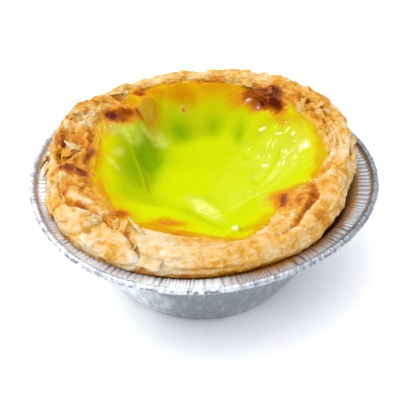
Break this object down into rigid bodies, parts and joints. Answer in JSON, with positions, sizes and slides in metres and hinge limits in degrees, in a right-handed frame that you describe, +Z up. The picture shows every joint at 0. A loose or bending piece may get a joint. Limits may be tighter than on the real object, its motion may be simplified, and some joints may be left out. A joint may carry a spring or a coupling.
{
  "type": "egg tart in a foil cup",
  "caption": "Round egg tart: a flaky browned pastry shell with a raised rim, filled with a sunken glossy custard, standing in its pleated foil baking cup.",
  "frame": {"origin": "centre of the foil cup's flat base, on the surface that the tart stands on", "axes": "+Z up; +X to the tart's right and +Y to its back, with the folded-in lobe of the rim at the front right"},
  "size_m": [0.0803, 0.08, 0.0351],
  "materials": {
    "foil": "thin pressed foil, bright, with fine pleats and a browned oil line inside the rim",
    "crust": "baked flaky pastry, cream to golden, with orange recesses and dark brown spots",
    "custard": "set custard, lime yellow, greener in the dish, glossy, browned at the edge"
  },
  "bodies": {
    "root": {"foil_cup": "foil", "pastry_crust": "crust", "custard": "custard"}
  },
  "joints": []
}
